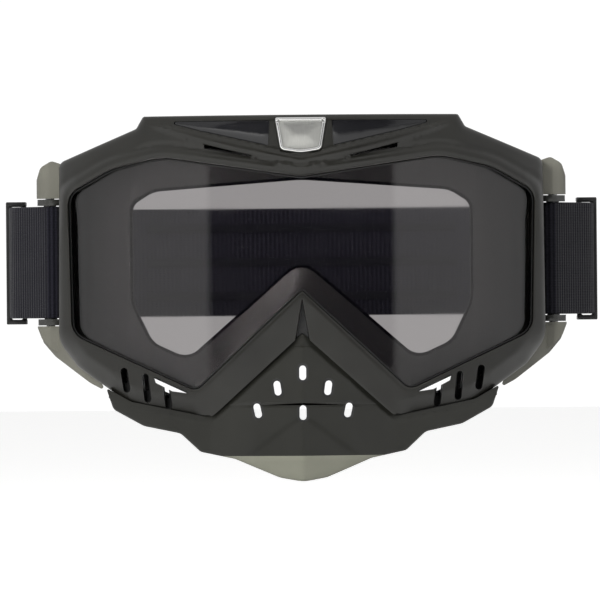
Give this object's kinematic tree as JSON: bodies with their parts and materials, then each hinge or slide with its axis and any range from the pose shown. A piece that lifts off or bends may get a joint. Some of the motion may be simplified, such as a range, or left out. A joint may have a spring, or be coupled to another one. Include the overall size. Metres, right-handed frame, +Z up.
{
  "type": "motorcycle goggles",
  "caption": "Full-frame riding goggles with a bent smoked lens, vented shell, removable nose guard, foam face seal and elastic head strap on swivelling bars.",
  "frame": {"origin": "middle of the face line, on the plane of symmetry at strap height, where the fleece meets the face", "axes": "+X to the right seen from in front, +Y from the lens towards the back of the strap, +Z up as worn"},
  "size_m": [0.2038, 0.2443, 0.1229],
  "materials": {
    "frame_plastic": "dark grey-olive moulded plastic, satin",
    "chassis_plastic": "grey-olive softer plastic, satin",
    "lens": "dark smoke polycarbonate, glossy",
    "seal_foam": "black closed-cell gasket",
    "gloss_panel": "gloss black insert",
    "badge_chrome": "bright chromed rim",
    "badge_satin": "satin silver plate",
    "filter_foam": "open-cell vent foam",
    "face_foam": "dense face foam",
    "fleece": "brushed fleece lining",
    "strap_elastic": "black-navy woven elastic",
    "silicone": "clear-grey silicone lines",
    "bar_plastic": "dark moulded plastic",
    "pin_steel": "plain steel pins",
    "adjuster_plastic": "black moulded sliders",
    "guard_plastic": "dark grey flexible plastic, satin",
    "stud_plastic": "black push studs"
  },
  "bodies": {
    "root": {"front_shell": "frame_plastic", "rear_chassis": "chassis_plastic", "lens": "lens", "lens_seal": "seal_foam", "brow_panel_left": "gloss_panel", "brow_panel_right": "gloss_panel", "badge_bezel": "badge_chrome", "badge_plate": "badge_satin", "vent_foam_top": "filter_foam", "foam_base": "face_foam", "face_fleece": "fleece", "strap_band": "strap_elastic", "strap_loop_left": "strap_elastic", "strap_loop_right": "strap_elastic", "grip_strips": "silicone"},
    "nose_guard": {"nose_guard": "guard_plastic", "guard_push_studs": "stud_plastic"},
    "left_strap_bar": {"strap_bar_left": "bar_plastic", "bar_pins_left": "pin_steel"},
    "right_strap_bar": {"strap_bar_right": "bar_plastic", "bar_pins_right": "pin_steel"},
    "left_adjuster": {"adjuster_left": "adjuster_plastic"},
    "right_adjuster": {"adjuster_right": "adjuster_plastic"}
  },
  "joints": [
    {"name": "nose_guard_release", "type": "slide", "parent": "root", "child": "nose_guard", "axis": [0, 0, -1], "range_m": [0, 0.04]},
    {"name": "left_strap_swivel", "type": "hinge", "parent": "root", "child": "left_strap_bar", "pos_m": [-0.0855, 0.019, 0], "axis": [0, 0, 1], "range_deg": [-25, 30], "deforming": ["strap_loop_left"]},
    {"name": "right_strap_swivel", "type": "hinge", "parent": "root", "child": "right_strap_bar", "pos_m": [0.0855, 0.019, 0], "axis": [0, 0, 1], "range_deg": [-30, 25], "deforming": ["strap_loop_right"]},
    {"name": "left_adjuster_slide", "type": "slide", "parent": "root", "child": "left_adjuster", "axis": [0, -1, 0], "range_m": [0, 0.025], "deforming": ["strap_loop_left"]},
    {"name": "right_adjuster_slide", "type": "slide", "parent": "root", "child": "right_adjuster", "axis": [0, -1, 0], "range_m": [0, 0.025], "deforming": ["strap_loop_right"]}
  ]
}
